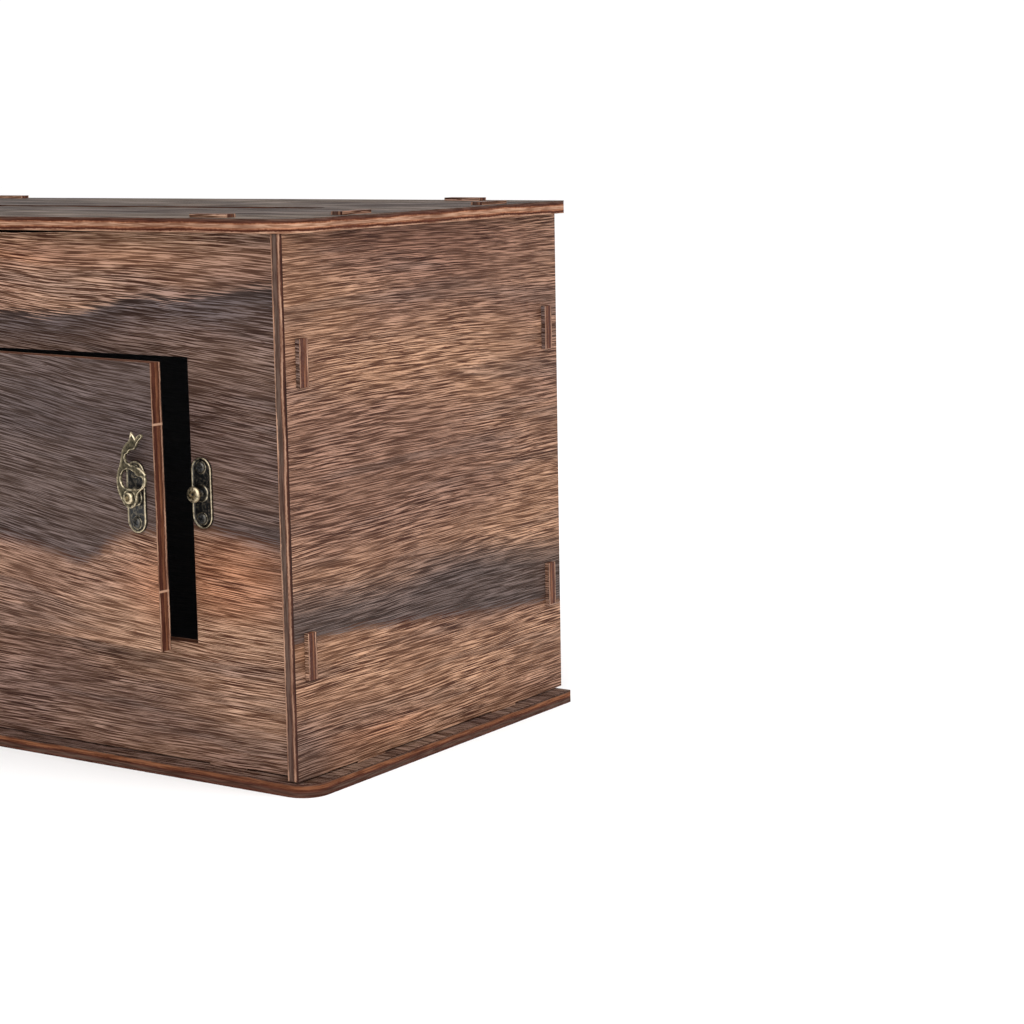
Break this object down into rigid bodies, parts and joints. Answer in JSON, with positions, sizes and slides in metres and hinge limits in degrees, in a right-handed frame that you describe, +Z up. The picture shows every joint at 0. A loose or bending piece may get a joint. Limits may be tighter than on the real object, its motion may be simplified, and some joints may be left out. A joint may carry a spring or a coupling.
{
  "type": "wooden card box",
  "caption": "Rectangular plywood box with a card slot in its top and a hinged front door held by a swing hook latch.",
  "frame": {"origin": "middle of the box, on the underside of the base plate", "axes": "+X to the right seen from the front, +Y to the back, +Z up"},
  "size_m": [0.342, 0.1902, 0.2052],
  "materials": {
    "plywood": "brushed dark stained plywood, matt",
    "bronze": "antique bronze with worn bright rims",
    "worn_brass": "antique brass, rubbed bright",
    "screw": "dark antique bronze"
  },
  "bodies": {
    "box": {"base_plate": "plywood", "top_plate": "plywood", "left_side_panel": "plywood", "right_side_panel": "plywood", "front_panel": "plywood", "back_panel": "plywood", "catch_plate": "bronze", "catch_post": "worn_brass", "catch_plate_screws": "screw", "hinge_frame_screws": "screw", "lower_hinge_frame_leaf": "bronze", "lower_hinge_pin": "worn_brass", "upper_hinge_frame_leaf": "bronze", "upper_hinge_pin": "worn_brass"},
    "door": {"door_panel": "plywood", "latch_plate": "bronze", "latch_plate_screws": "screw", "latch_rivet": "worn_brass", "hinge_door_screws": "screw", "lower_hinge_door_leaf": "bronze", "upper_hinge_door_leaf": "bronze"},
    "hook": {"latch_hook": "bronze"}
  },
  "joints": [
    {"name": "door_hinge", "type": "hinge", "parent": "box", "child": "door", "pos_m": [-0.1153, -0.0823, 0.102], "axis": [0, 0, -1], "range_deg": [-4.7, 145.3]},
    {"name": "hook_pivot", "type": "hinge", "parent": "door", "child": "hook", "pos_m": [0.1053, -0.10239, 0.1056], "axis": [0.0819, 0.9966, 0], "range_deg": [-180, 90]}
  ]
}
